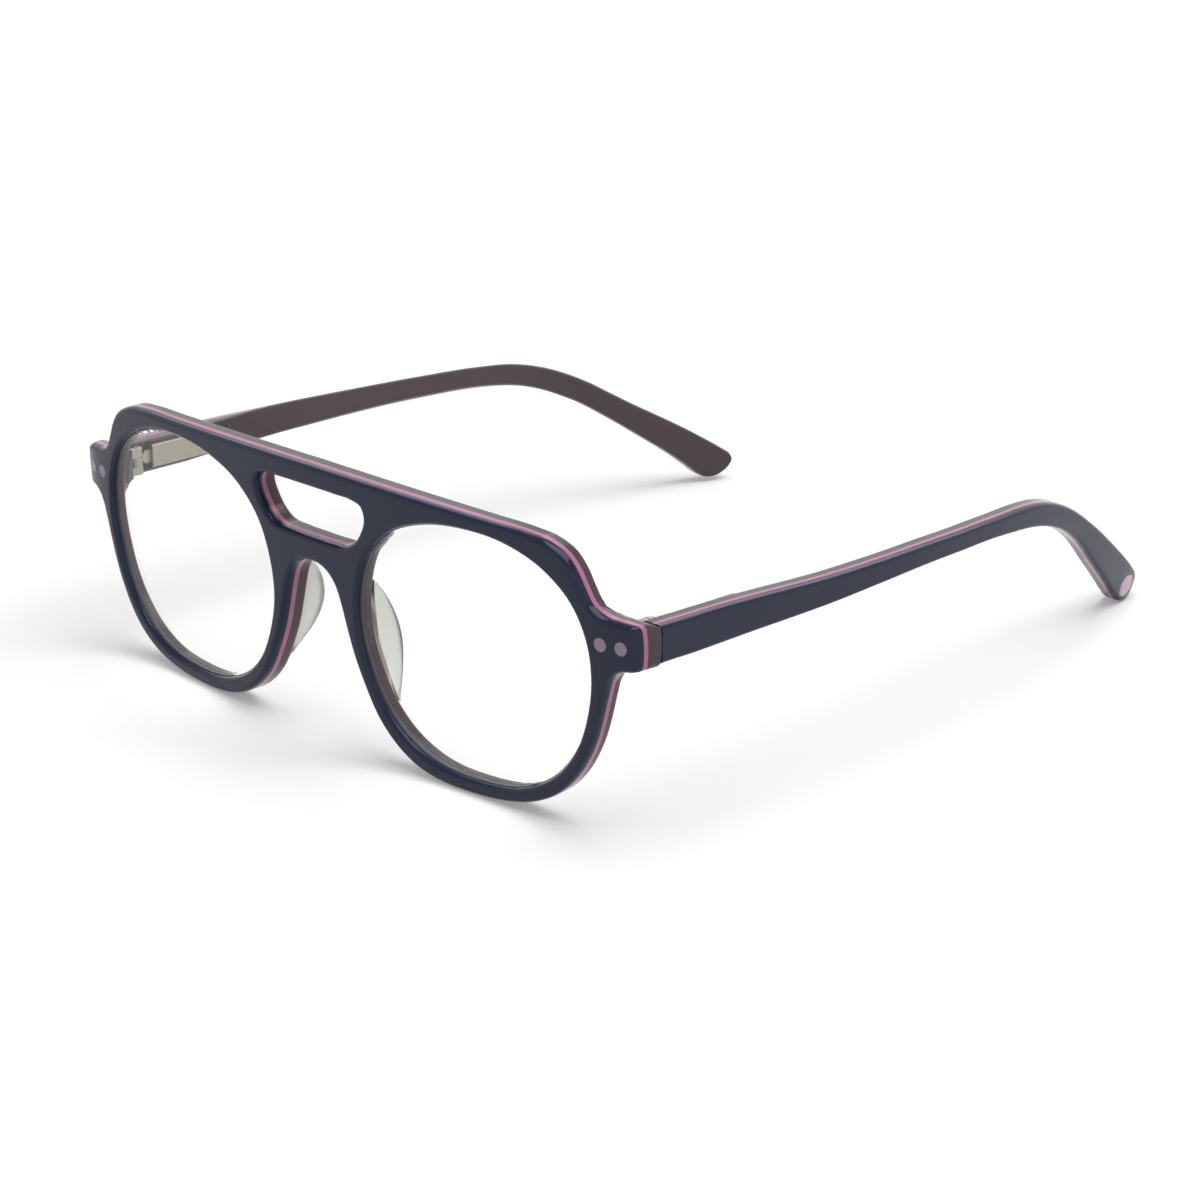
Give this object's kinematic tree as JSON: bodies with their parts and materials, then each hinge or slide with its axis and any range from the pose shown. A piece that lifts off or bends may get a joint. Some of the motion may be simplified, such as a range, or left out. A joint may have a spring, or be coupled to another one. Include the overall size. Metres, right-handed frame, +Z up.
{
  "type": "aviator eyeglasses",
  "caption": "Aviator eyeglasses in laminated sheet with a double bridge, clear lenses and nose pads, and temples that fold on sprung hinges.",
  "frame": {"origin": "on the floor that the rims and temple ends stand on, midway between the temples and midway from the brow to the temple ends", "axes": "+X to the wearer's left, +Y from the front towards the temple ends, +Z up"},
  "size_m": [0.14, 0.1586, 0.0487],
  "materials": {
    "navy_sheet": "polished",
    "pink_sheet": "polished",
    "brown_sheet": "polished",
    "lavender_inlay": "polished",
    "clear_lens": "polished",
    "clear_pad": "polished",
    "hinge_steel": "satin",
    "screw_steel": "satin"
  },
  "bodies": {
    "front": {"front_navy": "navy_sheet", "front_pink": "pink_sheet", "front_brown": "brown_sheet", "front_inlays": "lavender_inlay", "lens_left": "clear_lens", "lens_right": "clear_lens", "nose_pad_left": "clear_pad", "nose_pad_right": "clear_pad", "hinge_plate_left": "hinge_steel", "hinge_plate_right": "hinge_steel", "hinge_screw_left": "screw_steel", "hinge_screw_right": "screw_steel"},
    "slider_left": {"hinge_slider_left": "hinge_steel", "spring_nut_left": "screw_steel"},
    "temple_left": {"temple_navy_left": "navy_sheet", "temple_pink_left": "pink_sheet", "temple_brown_left": "brown_sheet", "tip_inlay_left": "pink_sheet", "spring_housing_left": "hinge_steel", "spring_stop_left": "screw_steel", "hinge_spring_left": "screw_steel"},
    "slider_right": {"hinge_slider_right": "hinge_steel", "spring_nut_right": "screw_steel"},
    "temple_right": {"temple_navy_right": "navy_sheet", "temple_pink_right": "pink_sheet", "temple_brown_right": "brown_sheet", "tip_inlay_right": "pink_sheet", "spring_housing_right": "hinge_steel", "spring_stop_right": "screw_steel", "hinge_spring_right": "screw_steel"}
  },
  "joints": [
    {"name": "fold_left", "type": "hinge", "parent": "front", "child": "slider_left", "pos_m": [0.0648, -0.06478, 0.03232], "axis": [0, 0, 1], "range_deg": [0, 87]},
    {"name": "spring_stroke_left", "type": "slide", "parent": "slider_left", "child": "temple_left", "axis": [0, 1, 0], "range_m": [0, 0.0011], "stiffness_N_per_m": 4000, "springref_m": -0.0006, "deforming": ["hinge_spring_left"]},
    {"name": "fold_right", "type": "hinge", "parent": "front", "child": "slider_right", "pos_m": [-0.0648, -0.06478, 0.03232], "axis": [0, 0, -1], "range_deg": [0, 80]},
    {"name": "spring_stroke_right", "type": "slide", "parent": "slider_right", "child": "temple_right", "axis": [0, 1, 0], "range_m": [0, 0.0011], "stiffness_N_per_m": 4000, "springref_m": -0.0006, "deforming": ["hinge_spring_right"]}
  ]
}
